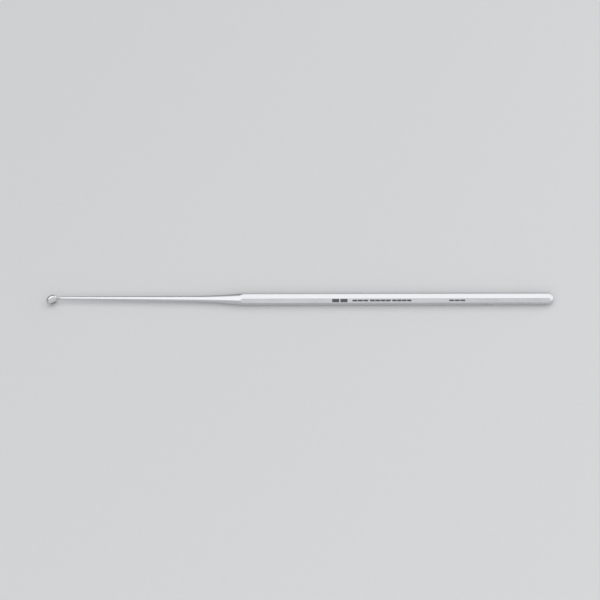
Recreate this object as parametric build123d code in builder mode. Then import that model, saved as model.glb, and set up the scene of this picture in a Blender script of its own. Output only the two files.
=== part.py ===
from build123d import *
from math import cos, radians, sin
import os

os.makedirs("parts", exist_ok=True)

# A ring curette for the ear, made from one octagonal steel bar. It lies along X on one
# flat of its grip, with the ring towards -X, the butt towards +X and the front towards -Y.
# The origin is on that resting flat, under the middle of the grip.
# Lengths are in millimetres and angles in degrees.

# Octagonal grip
grip_length = 100.5
grip_flats = 3.76  # across opposite flats
grip_edge_radius = 0.12  # the long edges, eased by polishing

# Butt end, turned to a blunt cone
butt_chamfer_length = 0.95  # along the grip, measured on a flat
butt_chamfer_depth = 0.5  # in from a flat
butt_rim_radius = 0.2

# Flare, shank and neck, turned about one axis
flare_length = 16.2
shank_length = 41.5
shank_root_diameter = 1.96
shank_tip_diameter = 1.06
neck_length = 1.6
neck_diameter = 0.86
nose_lean = 0.5  # set of the turned axis towards the back, against the bend

# Bend between the neck and the ring
bend_radius = 1.0
bend_to_ring = 0.6  # straight stub between the bend and the ring's outer wall
web_width = 1.5  # the neck spreads to this around the ring's wall
web_height = 0.7  # and to this along the bore

# Ring
ring_outer_diameter = 4.1
ring_bore = 3.0
ring_depth = 1.0  # along the bore
ring_tilt = 24.0  # between the ring's plane and the shank
ring_roll = 108.0  # side the neck bends to, turned from straight down towards the front
ring_edge_radius = 0.08
scraping_rim = 0.22  # flat left between the bore and the outer bevel
scraping_bevel = 0.42  # length of that bevel along the bore

# The profiles that turn the bar run this far past it
overrun = 5.0

# Shared places and directions
axis_height = grip_flats / 2
corner_radius = grip_flats / 2 / cos(radians(22.5))
grip_start = -grip_length / 2
grip_end = grip_length / 2

lean = radians(nose_lean)
roll = radians(ring_roll)
nose_dir = Vector(-cos(lean), sin(lean), 0)
nose_front = Vector(-sin(lean), -cos(lean), 0)
nose_side = nose_front * sin(roll) - Vector(0, 0, 1) * cos(roll)
nose_plane = Plane(
    origin=(grip_start, 0, axis_height), x_dir=nose_dir, z_dir=nose_dir.cross(nose_side)
)

# Stations along the turned axis, measured from the front end of the grip
shank_root = flare_length
shank_tip = shank_root + shank_length
neck_end = shank_tip + neck_length
taper = (shank_root_diameter - shank_tip_diameter) / 2 / shank_length

# The ring's centre and its radial direction through the neck, in the nose plane
ring_outer_radius = ring_outer_diameter / 2
ring_bore_radius = ring_bore / 2
tilt = radians(ring_tilt)
bend_end = (neck_end + bend_radius * sin(tilt), bend_radius * (1 - cos(tilt)))


def past_bend(distance):
    """The point that lies this far beyond the bend, towards the ring's centre."""
    return (bend_end[0] + distance * cos(tilt), bend_end[1] + distance * sin(tilt))


ring_centre = past_bend(bend_to_ring + ring_outer_radius)
web_end = past_bend(bend_to_ring + (ring_outer_radius - ring_bore_radius) / 2)

ring_plane = Plane(
    origin=nose_plane.from_local_coords(ring_centre),
    x_dir=nose_dir * cos(tilt) + nose_side * sin(tilt),
    z_dir=nose_plane.z_dir,
)

with BuildPart() as ear_curette:
    # Bar stock, long enough to hold the whole turned nose
    with BuildSketch(Plane.YZ.offset(grip_end)):
        with Locations((0, axis_height)):
            RegularPolygon(grip_flats / 2, 8, major_radius=False, rotation=22.5)
    extrude(amount=-(grip_length + neck_end))
    fillet(ear_curette.edges().filter_by(Axis.X), grip_edge_radius)

    # The bar in front of the grip is turned down to a hollow flare, a tapered shank and
    # a slimmer neck. The flats run out in scallops where the flare meets them.
    with BuildSketch(nose_plane):
        with BuildLine():
            behind_butt = -(grip_length + overrun)
            clear_of_bar = corner_radius + grip_length * sin(lean) + overrun
            Polyline(
                (neck_end, neck_diameter / 2),
                (neck_end, 0),
                (behind_butt, 0),
                (behind_butt, clear_of_bar),
                (0, clear_of_bar),
                (0, corner_radius),
            )
            TangentArc(
                (shank_root, shank_root_diameter / 2),
                (0, corner_radius),
                tangent=(-1, taper),
            )
            Line(
                (shank_root, shank_root_diameter / 2), (shank_tip, shank_tip_diameter / 2)
            )
            TangentArc(
                (shank_tip, shank_tip_diameter / 2),
                (neck_end, neck_diameter / 2),
                tangent=(1, -taper),
            )
        make_face()
    revolve(axis=Axis(nose_plane.origin, nose_dir), mode=Mode.INTERSECT)

    # The butt is turned to a blunt cone with a rounded rim
    with BuildSketch(Plane.XZ) as butt_profile:
        with BuildLine():
            face_radius = grip_flats / 2 - butt_chamfer_depth
            cone_run = butt_chamfer_length * overrun / butt_chamfer_depth
            ahead_of_neck = grip_start - neck_end - overrun
            Polyline(
                (grip_end, axis_height),
                (grip_end, axis_height + face_radius),
                (grip_end - cone_run, axis_height + face_radius + overrun),
                (ahead_of_neck, axis_height + face_radius + overrun),
                (ahead_of_neck, axis_height),
                close=True,
            )
        make_face()
        rim = butt_profile.vertices().group_by(Axis.X)[-1].sort_by(Axis.Y)[-1]
        fillet(rim, butt_rim_radius)
    revolve(axis=Axis((0, 0, axis_height), (1, 0, 0)), mode=Mode.INTERSECT)

    # The neck bends over towards the ring and spreads into a web across its wall
    with BuildLine(nose_plane) as neck_path:
        TangentArc((neck_end, 0), bend_end, tangent=(1, 0))
        Line(bend_end, web_end)
    neck_centre = nose_plane.from_local_coords((neck_end, 0))
    with BuildSketch(Plane(neck_centre, x_dir=nose_plane.z_dir, z_dir=nose_dir)):
        Circle(neck_diameter / 2)
    web_centre = nose_plane.from_local_coords(web_end)
    with BuildSketch(Plane(web_centre, x_dir=nose_plane.z_dir, z_dir=ring_plane.x_dir)):
        Ellipse(web_width / 2, web_height / 2)
    sweep(path=neck_path.wire(), multisection=True)

    # The ring: a band with a straight bore, bevelled outside towards its scraping rim,
    # which faces the side the neck bends to
    with BuildSketch(ring_plane) as band:
        with BuildLine():
            Polyline(
                (ring_bore_radius, -ring_depth / 2),
                (ring_outer_radius, -ring_depth / 2),
                (ring_outer_radius, ring_depth / 2 - scraping_bevel),
                (ring_bore_radius + scraping_rim, ring_depth / 2),
                (ring_bore_radius, ring_depth / 2),
                close=True,
            )
        make_face()
        fillet(band.vertices(), ring_edge_radius)
    revolve(axis=Axis(ring_plane.origin, ring_plane.y_dir))

ear_curette.part.label = "ear_curette"
export_step(ear_curette.part, "parts/ear_curette.step")

# Overall figures, for checking against the drawing
box = ear_curette.part.bounding_box()
bore_centre = ring_plane.origin
print(f"overall length {box.size.X:.2f}, height {box.size.Z:.3f}, lowest point {box.min.Z:.3f}")
print(f"bore centre {bore_centre.X:.3f} {bore_centre.Y:.3f} {bore_centre.Z:.3f}")
print(f"bore axis {ring_plane.y_dir.X:.5f} {ring_plane.y_dir.Y:.5f} {ring_plane.y_dir.Z:.5f}")
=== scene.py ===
"""An ear curette of satin stainless steel, lying on a plain pale floor.

One octagonal bar is turned down at its front to a hollow flare, a tapered shank and a slim
neck. The neck bends over and spreads into a web, which carries a small open ring.

Lengths are in metres and angles in degrees, apart from those that Blender is given.
"""

import logging
import math
from dataclasses import dataclass
from enum import Enum

import bmesh
import bpy
from mathutils import Matrix, Vector

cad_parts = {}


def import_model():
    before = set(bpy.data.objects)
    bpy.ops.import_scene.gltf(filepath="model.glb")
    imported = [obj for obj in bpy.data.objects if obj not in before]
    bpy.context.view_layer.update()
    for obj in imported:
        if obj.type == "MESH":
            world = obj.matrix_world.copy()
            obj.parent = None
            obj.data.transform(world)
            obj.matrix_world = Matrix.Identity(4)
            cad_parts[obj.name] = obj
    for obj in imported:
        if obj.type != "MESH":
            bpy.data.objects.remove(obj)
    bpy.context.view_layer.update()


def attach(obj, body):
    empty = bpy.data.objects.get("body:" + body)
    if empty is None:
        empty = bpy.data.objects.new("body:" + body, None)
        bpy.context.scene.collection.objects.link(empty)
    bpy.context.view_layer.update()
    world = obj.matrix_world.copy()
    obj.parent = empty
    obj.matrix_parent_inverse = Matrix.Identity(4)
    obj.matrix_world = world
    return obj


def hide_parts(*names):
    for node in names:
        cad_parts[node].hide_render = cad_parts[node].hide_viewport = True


log = logging.getLogger("ear_curette")

MM = 0.001
SEAM = 0.0001 * MM
NOISE_MIDDLE = 0.5
X_AXIS = Vector((1, 0, 0))
Z_AXIS = Vector((0, 0, 1))


class Combine(Enum):
    """The ways in which two closed meshes are combined."""

    INTERSECT = "INTERSECT"
    UNION = "UNION"


class Grain(Enum):
    """The way in which the polishing marks of a steel surface run."""

    ALONG = "along"
    AROUND = "around"


class Steel(Enum):
    """The surfaces of the curette, in the order of its material slots."""

    DRAWN = 0
    TURNED = 1
    RING = 2


class Wave:
    """A socket of a node tree, with which sums are written as plain Python."""

    def __init__(self, tree: "Tree", socket: bpy.types.NodeSocket) -> None:
        """Wraps one output socket.

        Args:
            tree: The tree that the socket belongs to.
            socket: The output socket.
        """
        self.tree = tree
        self.socket = socket

    def _maths(self, operation: str, first: "Wave | float", second: "Wave | float") -> "Wave":
        """Adds one Math node and returns its result."""
        node = self.tree.add("ShaderNodeMath", {"operation": operation}, {0: first, 1: second})
        return Wave(self.tree, node.outputs[0])

    def __add__(self, other: "Wave | float") -> "Wave":
        """Returns self + other."""
        return self._maths("ADD", self, other)

    def __radd__(self, other: float) -> "Wave":
        """Returns other + self."""
        return self._maths("ADD", other, self)

    def __sub__(self, other: "Wave | float") -> "Wave":
        """Returns self - other."""
        return self._maths("SUBTRACT", self, other)

    def __rsub__(self, other: float) -> "Wave":
        """Returns other - self."""
        return self._maths("SUBTRACT", other, self)

    def __mul__(self, other: "Wave | float") -> "Wave":
        """Returns self * other."""
        return self._maths("MULTIPLY", self, other)

    def __rmul__(self, other: float) -> "Wave":
        """Returns other * self."""
        return self._maths("MULTIPLY", other, self)


class Tree:
    """The nodes of one material or world."""

    def __init__(self, owner: bpy.types.Material | bpy.types.World) -> None:
        """Empties the owner's node tree and starts afresh.

        Args:
            owner: The material or world to be filled.
        """
        owner.use_nodes = True
        self.nodes = owner.node_tree.nodes
        self.links = owner.node_tree.links
        self.nodes.clear()

    def add(
        self, kind: str, settings: dict[str, object], values: dict[str | int, object]
    ) -> bpy.types.Node:
        """Adds a node.

        Args:
            kind: The type of the node, such as "ShaderNodeBump".
            settings: The node's own settings, which are set first.
            values: A number, a colour, a socket or a Wave for each input that is given.

        Returns:
            The new node.
        """
        node = self.nodes.new(kind)
        for name, setting in settings.items():
            setattr(node, name, setting)
        for name, value in values.items():
            if isinstance(value, Wave):
                value = value.socket
            if isinstance(value, bpy.types.NodeSocket):
                self.links.new(value, node.inputs[name])
            else:
                node.inputs[name].default_value = value
        return node

    def noise(self, scale: tuple[float, float, float], detail: float, rough: float) -> Wave:
        """Noise on Object coordinates.

        Args:
            scale: How many waves there are to a metre along X, Y and Z.
            detail: The number of finer layers.
            rough: How strong the finer layers are.

        Returns:
            The noise, from 0 to 1 and mostly near its middle.
        """
        place = self.add("ShaderNodeTexCoord", {}, {})
        scaled = self.add(
            "ShaderNodeMapping",
            {"vector_type": "POINT"},
            {"Vector": place.outputs["Object"], "Scale": scale},
        )
        noise = self.add(
            "ShaderNodeTexNoise",
            {"noise_dimensions": "3D"},
            {
                "Vector": scaled.outputs["Vector"],
                "Scale": 1.0,
                "Detail": detail,
                "Roughness": rough,
            },
        )
        return Wave(self, noise.outputs["Fac"])

    def blend(self, factor: Wave, low: tuple, high: tuple) -> bpy.types.NodeSocket:
        """A colour between two others.

        Args:
            factor: 0 for the first colour and 1 for the second.
            low: The first colour, as RGB.
            high: The second colour, as RGB.

        Returns:
            The colour's socket.
        """
        node = self.add(
            "ShaderNodeMix",
            {"data_type": "RGBA", "clamp_factor": True},
            {"Factor": factor, 6: (*low, 1.0), 7: (*high, 1.0)},
        )
        return node.outputs[2]

    def surface(self, values: dict[str | int, object]) -> None:
        """Adds the one shader of a material and sends it to the output.

        Args:
            values: A number, a colour, a socket or a Wave for each input that is given.
        """
        shader = self.add("ShaderNodeBsdfPrincipled", {}, values)
        self.add("ShaderNodeOutputMaterial", {}, {"Surface": shader.outputs["BSDF"]})


@dataclass(frozen=True)
class SatinSteel:
    """Stainless steel with a fine satin polish."""

    name: str
    grain: Grain
    pale: tuple[float, float, float] = (0.71, 0.718, 0.73)
    deep: tuple[float, float, float] = (0.59, 0.598, 0.61)
    roughness: float = 0.30
    roughness_spread: float = 0.14
    line_width: float = 0.06 * MM
    line_length: float = 9.0 * MM
    line_depth: float = 0.0018 * MM
    cloud_size: float = 6.0 * MM
    line_share: float = 0.7

    def material(self) -> bpy.types.Material:
        """Makes the material.

        Returns:
            A metal with polishing lines in its bump, roughness and colour.
        """
        made = bpy.data.materials.new(self.name)
        tree = Tree(made)
        fine, slow = 1 / self.line_width, 1 / self.line_length
        scale = (slow, fine, fine) if self.grain is Grain.ALONG else (fine, slow, slow)
        lines = tree.noise(scale, detail=3.0, rough=0.6)
        clouds = tree.noise((1 / self.cloud_size,) * 3, detail=2.0, rough=0.5)
        bump = tree.add(
            "ShaderNodeBump",
            {},
            {"Strength": 1.0, "Distance": self.line_depth, "Height": lines},
        )
        mixed = lines * self.line_share + clouds * (1 - self.line_share)
        spread = (lines + clouds - 2 * NOISE_MIDDLE) * self.roughness_spread
        tree.surface(
            {
                "Base Color": tree.blend(mixed, self.deep, self.pale),
                "Metallic": 1.0,
                "Roughness": spread + self.roughness,
                "Normal": bump.outputs["Normal"],
            }
        )
        return made


@dataclass(frozen=True)
class EtchedMark:
    """The dark oxide that marking leaves on steel."""

    name: str = "etched_mark"
    dark: tuple[float, float, float] = (0.045, 0.046, 0.050)
    worn: tuple[float, float, float] = (0.110, 0.111, 0.118)
    metallic: float = 0.2
    roughness: float = 0.5
    roughness_spread: float = 0.2
    fleck_size: float = 0.12 * MM

    def material(self) -> bpy.types.Material:
        """Makes the material.

        Returns:
            A dark grey with small paler flecks.
        """
        made = bpy.data.materials.new(self.name)
        tree = Tree(made)
        flecks = tree.noise((1 / self.fleck_size,) * 3, detail=2.0, rough=0.6)
        spread = (flecks - NOISE_MIDDLE) * self.roughness_spread
        tree.surface(
            {
                "Base Color": tree.blend(flecks, self.dark, self.worn),
                "Metallic": self.metallic,
                "Roughness": spread + self.roughness,
            }
        )
        return made


@dataclass(frozen=True)
class PaleBoard:
    """A plain pale matt board."""

    name: str = "pale_board"
    light: tuple[float, float, float] = (0.605, 0.61, 0.61)
    shade: tuple[float, float, float] = (0.585, 0.59, 0.59)
    roughness: float = 0.75
    specular: float = 0.2
    fibre_size: float = 1.5 * MM

    def material(self) -> bpy.types.Material:
        """Makes the material.

        Returns:
            A matt pale grey with a faint mottle.
        """
        made = bpy.data.materials.new(self.name)
        tree = Tree(made)
        mottle = tree.noise((1 / self.fibre_size,) * 3, detail=3.0, rough=0.5)
        tree.surface(
            {
                "Base Color": tree.blend(mottle, self.shade, self.light),
                "Roughness": self.roughness,
                "Specular IOR Level": self.specular,
            }
        )
        return made


def placed(name: str, data: bpy.types.ID) -> bpy.types.Object:
    """Puts a mesh, lamp or camera in the scene.

    Args:
        name: The name of the object.
        data: What the object shows.

    Returns:
        The new object, at the origin.
    """
    holder = bpy.data.objects.new(name, data)
    bpy.context.scene.collection.objects.link(holder)
    return holder


def tangent_arc(start: Vector, tangent: Vector, end: Vector) -> tuple[Vector, float]:
    """The arc in the XY plane that leaves one point along a tangent and meets another.

    Args:
        start: The point that the tangent belongs to.
        tangent: The direction of the arc there.
        end: The other point.

    Returns:
        The arc's centre, and its angle about +Z from start to end, in radians.
    """
    chord = end - start
    normal = Z_AXIS.cross(tangent).normalized()
    reach = chord.length_squared / (2 * normal.dot(chord))
    half = math.asin(chord.length / (2 * abs(reach)))
    return start + normal * reach, math.copysign(2 * half, reach)


def extend(bm: bmesh.types.BMesh, tip: bmesh.types.BMVert, place: Vector) -> bmesh.types.BMVert:
    """Draws a wire profile on to a new point.

    Args:
        bm: The mesh that holds the profile.
        tip: The profile's last vertex.
        place: The new point.

    Returns:
        The new last vertex.
    """
    new = bmesh.ops.extrude_vert_indiv(bm, verts=[tip])["verts"][0]
    new.co = place
    return new


def extend_round(
    bm: bmesh.types.BMesh,
    tip: bmesh.types.BMVert,
    centre: Vector,
    angle: float,
    steps: int,
) -> bmesh.types.BMVert:
    """Draws a wire profile on along an arc in the XY plane.

    Args:
        bm: The mesh that holds the profile.
        tip: The profile's last vertex.
        centre: The arc's centre.
        angle: The arc's angle about +Z, in radians.
        steps: The number of edges along it.

    Returns:
        The new last vertex.
    """
    turned = bmesh.ops.spin(
        bm, geom=[tip], cent=centre, axis=Z_AXIS, angle=angle, steps=steps, use_merge=False
    )
    return turned["geom_last"][0]


def round_corners(
    bm: bmesh.types.BMesh, corners: list[bmesh.types.BMVert], setback: float, segments: int
) -> None:
    """Rounds corners of a flat outline.

    Args:
        bm: The mesh that holds the outline.
        corners: The vertices that are rounded.
        setback: How far from its corner each arc begins.
        segments: The number of edges along each arc.
    """
    bmesh.ops.bevel(
        bm,
        geom=corners,
        offset=setback,
        affect="VERTICES",
        segments=segments,
        profile=0.5,
        material=-1,
    )


def revolve(bm: bmesh.types.BMesh, axis: Vector, facets: int) -> None:
    """Spins a wire profile once round an axis through the origin, and closes the seam.

    Args:
        bm: The mesh that holds the profile and nothing else.
        axis: The direction of the axis.
        facets: The number of facets round it.
    """
    bmesh.ops.spin(
        bm,
        geom=bm.verts[:] + bm.edges[:],
        cent=(0, 0, 0),
        axis=axis,
        angle=math.tau,
        steps=facets,
        use_merge=True,
    )
    bmesh.ops.remove_doubles(bm, verts=bm.verts[:], dist=SEAM)


def closed_mesh(
    bm: bmesh.types.BMesh, name: str, finish: int, smooth: bool = True
) -> bpy.types.Mesh:
    """Writes a closed bmesh to a mesh whose faces all have one finish.

    Args:
        bm: The bmesh, which is freed.
        name: The name of the mesh.
        finish: The material slot of its faces.
        smooth: Whether the faces are shaded as one curved surface.

    Returns:
        The mesh, with its faces pointing outwards.
    """
    bmesh.ops.recalc_face_normals(bm, faces=bm.faces[:])
    for face in bm.faces:
        face.material_index = finish
        face.smooth = smooth
    mesh = bpy.data.meshes.new(name)
    bm.to_mesh(mesh)
    bm.free()
    return mesh


def combined(
    first: bpy.types.Mesh,
    second: bpy.types.Mesh,
    how: Combine,
    finishes: list[bpy.types.Material],
) -> bpy.types.Mesh:
    """Combines two closed meshes into one.

    Args:
        first: One mesh, which is deleted.
        second: The other mesh, which is deleted.
        how: What is kept of the two.
        finishes: The materials that the slots of both refer to.

    Returns:
        The new mesh, each of whose faces keeps the finish that it had.
    """
    objects = []
    for mesh in (first, second):
        for finish in finishes[len(mesh.materials) :]:
            mesh.materials.append(finish)
        objects.append(placed(mesh.name, mesh))
    cut = objects[0].modifiers.new("combine", "BOOLEAN")
    cut.operation, cut.solver, cut.material_mode = how.value, "EXACT", "INDEX"
    cut.object = objects[1]
    depsgraph = bpy.context.evaluated_depsgraph_get()
    made = bpy.data.meshes.new_from_object(objects[0].evaluated_get(depsgraph))
    for used in objects:
        bpy.data.objects.remove(used)
    for mesh in (first, second):
        bpy.data.meshes.remove(mesh)
    return made


@dataclass
class Grip:
    """The octagonal bar, whose butt is turned to a blunt cone."""

    length: float = 100.5 * MM
    sides: int = 8
    flats: float = 3.76 * MM
    edge_radius: float = 0.12 * MM
    edge_segments: int = 4
    butt_chamfer_length: float = 0.95 * MM
    butt_chamfer_depth: float = 0.5 * MM
    butt_rim_radius: float = 0.2 * MM
    butt_rim_segments: int = 8
    facets: int = 96

    @property
    def start(self) -> float:
        """Where the grip begins, behind the flare."""
        return -self.length / 2

    @property
    def end(self) -> float:
        """Where the butt ends."""
        return self.length / 2

    @property
    def axis_height(self) -> float:
        """The height of the grip's axis above the floor."""
        return self.flats / 2

    @property
    def half_side(self) -> float:
        """Half the angle that one flat takes up round the axis, in radians."""
        return math.pi / self.sides

    @property
    def corner_radius(self) -> float:
        """The distance from the axis to a corner, before the corner is eased."""
        return self.flats / 2 / math.cos(self.half_side)

    def bar(self, reach: float) -> bpy.types.Mesh:
        """Models the octagonal bar stock.

        Args:
            reach: How far the bar runs past the front of the grip.

        Returns:
            The bar, from the butt to there.
        """
        on_a_flat = Matrix.Rotation(self.half_side, 3, "Z")
        along_x = Matrix.Rotation(math.pi / 2, 3, "Y")
        setback = self.edge_radius * math.tan(self.half_side)
        bm = bmesh.new()
        bmesh.ops.create_circle(
            bm, segments=self.sides, radius=self.corner_radius, cap_ends=True
        )
        bmesh.ops.rotate(bm, verts=bm.verts[:], matrix=on_a_flat)
        round_corners(bm, bm.verts[:], setback, self.edge_segments)
        bmesh.ops.rotate(bm, verts=bm.verts[:], matrix=along_x)
        bmesh.ops.translate(bm, verts=bm.verts[:], vec=(self.end, 0, self.axis_height))
        pulled = bmesh.ops.extrude_face_region(bm, geom=bm.faces[:], use_keep_orig=True)["geom"]
        front = [g for g in pulled if isinstance(g, bmesh.types.BMVert)]
        bmesh.ops.translate(bm, verts=front, vec=(-self.length - reach, 0, 0))
        return closed_mesh(bm, "bar", Steel.DRAWN.value)

    def butt_envelope(self, reach: float) -> bpy.types.Mesh:
        """Models what the turned butt leaves of the bar.

        Args:
            reach: How far the bar runs past the front of the grip.

        Returns:
            A body of revolution that is wider than the bar, apart from its cone.
        """
        clear = self.flats
        face_radius = self.flats / 2 - self.butt_chamfer_depth
        slope = self.butt_chamfer_length / self.butt_chamfer_depth
        half_turn = math.atan(slope) / 2
        rim = Vector((self.end, face_radius, 0))
        front = self.start - reach - clear
        bm = bmesh.new()
        tip = extend(bm, bm.verts.new((self.end, 0, 0)), rim)
        corner = tip
        tip = extend(bm, tip, Vector((self.end - (clear - face_radius) * slope, clear, 0)))
        tip = extend(bm, tip, Vector((front, clear, 0)))
        extend(bm, tip, Vector((front, 0, 0)))
        setback = self.butt_rim_radius * math.tan(half_turn)
        round_corners(bm, [corner], setback, self.butt_rim_segments)
        revolve(bm, X_AXIS, self.facets)
        bmesh.ops.translate(bm, verts=bm.verts[:], vec=(0, 0, self.axis_height))
        return closed_mesh(bm, "butt_envelope", Steel.TURNED.value)


@dataclass
class Ring:
    """The open ring, bevelled outside towards its scraping rim."""

    outer_diameter: float = 4.1 * MM
    bore: float = 3.0 * MM
    depth: float = 1.0 * MM
    tilt: float = 24.0
    roll: float = 108.0
    edge_radius: float = 0.08 * MM
    edge_segments: int = 5
    scraping_rim: float = 0.22 * MM
    scraping_bevel: float = 0.42 * MM
    facets: int = 160

    @property
    def wall(self) -> float:
        """The thickness of the band."""
        return (self.outer_diameter - self.bore) / 2

    def band(self, place: Matrix) -> bpy.types.Mesh:
        """Models the ring.

        Args:
            place: The ring's place. Its bore runs along this matrix's Z axis.

        Returns:
            The ring, as a closed band.
        """
        outer, inner, half = self.outer_diameter / 2, self.bore / 2, self.depth / 2
        corners = (
            (inner, -half),
            (outer, -half),
            (outer, half - self.scraping_bevel),
            (inner + self.scraping_rim, half),
            (inner, half),
        )
        bm = bmesh.new()
        bm.faces.new([bm.verts.new((radius, 0, height)) for radius, height in corners])
        round_corners(bm, bm.verts[:], self.edge_radius, self.edge_segments)
        bmesh.ops.delete(bm, geom=bm.faces[:], context="FACES_ONLY")
        revolve(bm, Z_AXIS, self.facets)
        bmesh.ops.transform(bm, matrix=place, verts=bm.verts[:])
        return closed_mesh(bm, "ring", Steel.RING.value)


@dataclass
class Nose:
    """The flare, shank, neck, bend and web, turned about an axis that leans back a little."""

    grip: Grip
    ring: Ring
    flare_length: float = 16.2 * MM
    shank_length: float = 41.5 * MM
    shank_root_diameter: float = 1.96 * MM
    shank_tip_diameter: float = 1.06 * MM
    neck_length: float = 1.6 * MM
    neck_diameter: float = 0.86 * MM
    lean: float = 0.5
    bend_radius: float = 1.0 * MM
    bend_to_ring: float = 0.6 * MM
    web_width: float = 1.5 * MM
    web_height: float = 0.7 * MM
    facets: int = 96
    flare_steps: int = 56
    shank_steps: int = 28
    neck_steps: int = 12
    bend_steps: int = 20

    @property
    def shank_tip(self) -> float:
        """Where the shank ends, along the nose."""
        return self.flare_length + self.shank_length

    @property
    def neck_end(self) -> float:
        """Where the bend begins, along the nose."""
        return self.shank_tip + self.neck_length

    @property
    def bend_length(self) -> float:
        """The length of the line round the bend."""
        return math.radians(self.ring.tilt) * self.bend_radius

    def place(self) -> Matrix:
        """The nose's own axes.

        Returns:
            X runs along the nose, from the grip's front end towards the tip, and Y points to
            the side that the neck bends to.
        """
        front = Matrix.Translation((self.grip.start, 0, self.grip.axis_height))
        leaning = Matrix.Rotation(math.radians(180 - self.lean), 4, "Z")
        return front @ leaning @ Matrix.Rotation(math.radians(self.ring.roll - 90), 4, "X")

    def along_path(self, distance: float) -> Matrix:
        """A place on the line that runs round the bend and straight on to the ring's centre.

        Args:
            distance: How far it lies from the end of the neck.

        Returns:
            Its axes, in the nose's own: X runs on along the line, and Y along the ring's bore.
        """
        turn = min(distance, self.bend_length) / self.bend_radius
        straight = max(distance - self.bend_length, 0)
        return (
            Matrix.Translation((self.neck_end, self.bend_radius, 0))
            @ Matrix.Rotation(turn, 4, "Z")
            @ Matrix.Translation((straight, -self.bend_radius, 0))
        )

    def ring_place(self) -> Matrix:
        """The ring's place in the model's frame, with its bore along Z."""
        to_centre = self.bend_length + self.bend_to_ring + self.ring.outer_diameter / 2
        upright = Matrix.Rotation(-math.pi / 2, 4, "X")
        return self.place() @ self.along_path(to_centre) @ upright

    def profile(self, bm: bmesh.types.BMesh) -> None:
        """Draws the turned profile, from behind the butt to the end of the neck.

        Args:
            bm: An empty mesh.
        """
        clear = 2 * self.grip.flats
        behind = -self.grip.length - clear
        flare_start = Vector((0, self.grip.corner_radius, 0))
        root = Vector((self.flare_length, self.shank_root_diameter / 2, 0))
        end = Vector((self.shank_tip, self.shank_tip_diameter / 2, 0))
        forward = (end - root).normalized()

        tip = bm.verts.new((behind, 0, 0))
        for place in (Vector((behind, clear, 0)), Vector((0, clear, 0)), flare_start):
            tip = extend(bm, tip, place)
        centre, angle = tangent_arc(root, -forward, flare_start)
        tip = extend_round(bm, tip, centre, -angle, self.flare_steps)
        for step in range(1, self.shank_steps + 1):
            tip = extend(bm, tip, root.lerp(end, step / self.shank_steps))
        neck_end = Vector((self.neck_end, self.neck_diameter / 2, 0))
        centre, angle = tangent_arc(end, forward, neck_end)
        extend_round(bm, tip, centre, angle, self.neck_steps)

    def bend_and_web(self, bm: bmesh.types.BMesh) -> None:
        """Carries the end of the turned neck round the bend and out into the web.

        Args:
            bm: The turned nose, open at the end of its neck.
        """
        path = self.bend_length + self.bend_to_ring + self.ring.wall / 2
        section = self.along_path(0)
        loop = [e for e in bm.edges if e.is_boundary]
        for step in range(1, self.bend_steps + 1):
            share = step / self.bend_steps
            high = 1 + (self.web_height / self.neck_diameter - 1) * share
            wide = 1 + (self.web_width / self.neck_diameter - 1) * share
            following = self.along_path(path * share) @ Matrix.Diagonal((1, high, wide, 1))
            grown = bmesh.ops.extrude_edge_only(bm, edges=loop)["geom"]
            rim = [g for g in grown if isinstance(g, bmesh.types.BMVert)]
            bmesh.ops.transform(bm, matrix=following @ section.inverted(), verts=rim)
            loop = [g for g in grown if isinstance(g, bmesh.types.BMEdge) and g.is_boundary]
            section = following
        bmesh.ops.holes_fill(bm, edges=loop, sides=0)

    def envelope(self) -> bpy.types.Mesh:
        """Models what turning and bending leave of the bar in front of the grip.

        Returns:
            A closed body that is wider than the bar along the grip.
        """
        bm = bmesh.new()
        self.profile(bm)
        revolve(bm, X_AXIS, self.facets)
        self.bend_and_web(bm)
        bmesh.ops.transform(bm, matrix=self.place(), verts=bm.verts[:])
        return closed_mesh(bm, "nose_envelope", Steel.TURNED.value)


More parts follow.
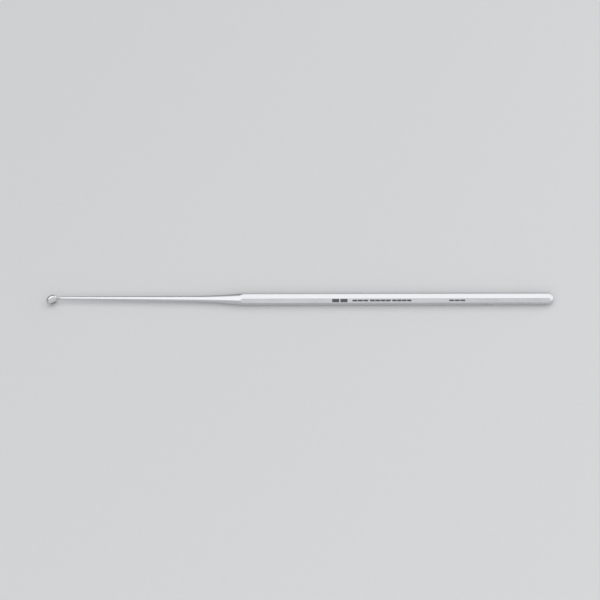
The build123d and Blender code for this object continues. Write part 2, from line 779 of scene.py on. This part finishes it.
@dataclass
class Curette:
    """The whole instrument, which is one piece of steel."""

    grip: Grip
    ring: Ring
    nose: Nose
    crease: float = 30.0
    scallop_crease: float = 1.5
    weld_distance: float = 0.0005 * MM
    face_weight: int = 100
    finishes: tuple[SatinSteel, ...] = (
        SatinSteel("satin_steel_drawn", Grain.ALONG),
        SatinSteel("satin_steel_turned", Grain.AROUND),
        SatinSteel("satin_steel_ring", Grain.AROUND, roughness=0.22),
    )

    def model(self) -> bpy.types.Mesh:
        """Cuts the bar to its turned forms and joins the ring on.

        Returns:
            One closed mesh in three finishes.
        """
        materials = [finish.material() for finish in self.finishes]
        reach = self.nose.neck_end + self.ring.outer_diameter / 2
        mesh = self.grip.bar(reach)
        for tool, how in (
            (self.nose.envelope(), Combine.INTERSECT),
            (self.grip.butt_envelope(reach), Combine.INTERSECT),
            (self.ring.band(self.nose.ring_place()), Combine.UNION),
        ):
            mesh = combined(mesh, tool, how, materials)
        return mesh

    def is_smooth(self, edge: bmesh.types.BMEdge) -> bool:
        """Whether shading runs on over an edge.

        Args:
            edge: An edge between two faces.

        Returns:
            False at a fold, and along the scallops where the flats run out.
        """
        sides = {face.material_index for face in edge.link_faces}
        scallop = sides == {Steel.DRAWN.value, Steel.TURNED.value}
        limit = self.scallop_crease if scallop else self.crease
        return edge.calc_face_angle(0.0) < math.radians(limit)

    def clean(self, mesh: bpy.types.Mesh) -> None:
        """Clears what the cuts left doubled or spare, and marks the edges that stay crisp.

        Args:
            mesh: The curette's mesh.
        """
        bm = bmesh.new()
        bm.from_mesh(mesh)
        bmesh.ops.remove_doubles(bm, verts=bm.verts[:], dist=self.weld_distance)
        bmesh.ops.dissolve_degenerate(bm, edges=bm.edges[:], dist=self.weld_distance)
        spare = [vert for vert in bm.verts if len(vert.link_edges) == 2]
        bmesh.ops.dissolve_verts(bm, verts=spare)
        for face in bm.faces:
            face.smooth = True
        for edge in bm.edges:
            edge.smooth = self.is_smooth(edge)
        bm.to_mesh(mesh)
        bm.free()

    def build(self) -> None:
        """Makes the instrument, which rides on the root and stands for the plain solid."""
        mesh = self.model()
        self.clean(mesh)
        piece = placed("curette_steel", mesh)
        shade = piece.modifiers.new("even_flats", "WEIGHTED_NORMAL")
        shade.mode, shade.keep_sharp, shade.weight = "FACE_AREA", True, self.face_weight
        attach(piece, "root")
        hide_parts("ear_curette")
        log.info("curette: %d faces", len(mesh.polygons))


@dataclass(frozen=True)
class MarkRow:
    """One row of plain dashes."""

    start: float
    end: float
    height: float
    dashes: int
    gap: float


@dataclass
class Marks:
    """Plain dark dashes on the flat that faces up and to the front."""

    grip: Grip
    finish: EtchedMark = EtchedMark()
    rows: tuple[MarkRow, ...] = (
        MarkRow(-21.5 * MM, -16.5 * MM, 1.15 * MM, dashes=2, gap=0.4 * MM),
        MarkRow(-14.9 * MM, -9.8 * MM, 0.62 * MM, dashes=3, gap=0.2 * MM),
        MarkRow(-9.2 * MM, -2.5 * MM, 0.62 * MM, dashes=4, gap=0.2 * MM),
        MarkRow(-2.0 * MM, 4.2 * MM, 0.62 * MM, dashes=4, gap=0.2 * MM),
        MarkRow(16.5 * MM, 21.7 * MM, 0.55 * MM, dashes=3, gap=0.2 * MM),
    )
    thickness: float = 0.02 * MM
    proud: float = 0.004 * MM
    corner: float = 0.08 * MM
    corner_segments: int = 4

    def place(self) -> Matrix:
        """The flat's axes: X along the grip, Y up across the flat and Z out of it."""
        return (
            Matrix.Translation((0, 0, self.grip.axis_height))
            @ Matrix.Rotation(2 * self.grip.half_side, 4, "X")
            @ Matrix.Translation((0, 0, self.grip.flats / 2 + self.proud))
        )

    def dash(self, bm: bmesh.types.BMesh, start: float, end: float, height: float) -> None:
        """Adds the outline of one dash, with round corners.

        Args:
            bm: The mesh that it is added to.
            start: Its end near the ring.
            end: Its end near the butt.
            height: Its height across the flat.
        """
        low, high = -height / 2, height / 2
        corners = [(start, low), (end, low), (end, high), (start, high)]
        face = bm.faces.new([bm.verts.new((x, y, 0)) for x, y in corners])
        round_corners(bm, face.verts[:], self.corner, self.corner_segments)

    def build(self) -> None:
        """Makes the marks, which ride on the root."""
        bm = bmesh.new()
        for row in self.rows:
            pitch = (row.end - row.start + row.gap) / row.dashes
            for number in range(row.dashes):
                start = row.start + number * pitch
                self.dash(bm, start, start + pitch - row.gap, row.height)
        bmesh.ops.solidify(bm, geom=bm.faces[:], thickness=self.thickness)
        bmesh.ops.transform(bm, matrix=self.place(), verts=bm.verts[:])
        mesh = closed_mesh(bm, "marks", 0, smooth=False)
        mesh.materials.append(self.finish.material())
        piece = placed("etched_marks", mesh)
        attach(piece, "root")
        log.info("marks: %d dashes", sum(row.dashes for row in self.rows))


@dataclass(frozen=True)
class Softbox:
    """A large soft lamp that faces the middle of the instrument."""

    name: str
    azimuth: float
    elevation: float
    distance: float
    width: float
    height: float
    power: float


@dataclass
class Studio:
    """The floor, the lamps, the world and the camera."""

    grip: Grip
    floor_size: float = 6.0
    floor_squares: int = 8
    world_colour: tuple[float, float, float] = (0.95, 0.97, 1.0)
    world_strength: float = 0.32
    lamps: tuple[Softbox, ...] = (
        Softbox("key", 0.0, 84.0, distance=1.1, width=2.2, height=2.6, power=19.8),
        Softbox("fill", -18.0, 24.0, distance=0.5, width=0.7, height=0.34, power=0.28),
        Softbox("side", 98.0, 20.0, distance=0.6, width=1.5, height=0.44, power=2.1),
    )
    camera_elevation: float = 62.5
    camera_lens: float = 150.0
    camera_sensor: float = 36.0
    camera_roll: float = -0.11
    camera_nearest: float = 0.01
    camera_farthest: float = 20.0
    image_size: int = 600
    picture_width: float = 195.1 * MM
    butt_pixel: float = 552.7
    axis_drop_pixels: float = 1.1

    def floor(self) -> None:
        """Lays the floor."""
        bm = bmesh.new()
        squares = self.floor_squares
        bmesh.ops.create_grid(
            bm, x_segments=squares, y_segments=squares, size=self.floor_size / 2
        )
        mesh = bpy.data.meshes.new("floor")
        bm.to_mesh(mesh)
        bm.free()
        mesh.materials.append(PaleBoard().material())
        piece = placed("floor", mesh)
        log.info("floor: %.1f m wide", self.floor_size)

    def direction(self, azimuth: float, elevation: float) -> Vector:
        """The direction from the instrument to a camera or a lamp.

        Args:
            azimuth: 0 in front of the instrument and 90 at its butt.
            elevation: The angle above the floor.

        Returns:
            A unit vector.
        """
        turn, rise = math.radians(azimuth), math.radians(elevation)
        flat = math.cos(rise)
        return Vector((math.sin(turn) * flat, -math.cos(turn) * flat, math.sin(rise)))

    def light(self) -> None:
        """Sets up the lamps and an even pale world."""
        for lamp in self.lamps:
            data = bpy.data.lights.new(lamp.name, "AREA")
            data.shape, data.size, data.size_y = "RECTANGLE", lamp.width, lamp.height
            data.energy = lamp.power
            away = self.direction(lamp.azimuth, lamp.elevation)
            holder = placed(lamp.name, data)
            holder.location = away * lamp.distance
            holder.rotation_euler = away.to_track_quat("Z", "Y").to_euler()
            log.info("lamp %s: %.1f W", lamp.name, lamp.power)
        world = bpy.data.worlds.new("pale_world")
        tree = Tree(world)
        sky = tree.add(
            "ShaderNodeBackground",
            {},
            {"Color": (*self.world_colour, 1.0), "Strength": self.world_strength},
        )
        tree.add("ShaderNodeOutputWorld", {}, {"Surface": sky.outputs["Background"]})
        bpy.context.scene.world = world

    def camera(self) -> None:
        """Looks at the instrument as the photograph does."""
        pixel = self.picture_width / self.image_size
        centre_x = self.grip.end - (self.butt_pixel - self.image_size / 2) * pixel
        back = self.direction(0, self.camera_elevation)
        down = X_AXIS.cross(back)
        target = Vector((centre_x, 0, self.grip.axis_height))
        target += down * self.axis_drop_pixels * pixel
        data = bpy.data.cameras.new("camera")
        data.lens, data.sensor_width = self.camera_lens, self.camera_sensor
        distance = self.picture_width * self.camera_lens / self.camera_sensor
        data.clip_start, data.clip_end = self.camera_nearest, self.camera_farthest
        aim = back.to_track_quat("Z", "Y").to_matrix()
        roll = Matrix.Rotation(math.radians(self.camera_roll), 3, "Z")
        turned = (aim @ roll).to_4x4()
        holder = placed("camera", data)
        holder.matrix_world = Matrix.Translation(target + back * distance) @ turned
        bpy.context.scene.camera = holder
        log.info("camera: %.0f mm lens at %.2f m", self.camera_lens, distance)

    def build(self) -> None:
        """Sets up everything round the instrument."""
        self.floor()
        self.light()
        self.camera()
        bpy.context.scene.view_settings.view_transform = "Standard"


def main() -> None:
    """Builds the instrument and the studio round it."""
    logging.basicConfig(level=logging.INFO, format="%(name)s: %(message)s")
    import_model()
    grip = Grip()
    ring = Ring()
    Curette(grip, ring, Nose(grip, ring)).build()
    Marks(grip).build()
    Studio(grip).build()


if __name__ == "__main__":
    main()
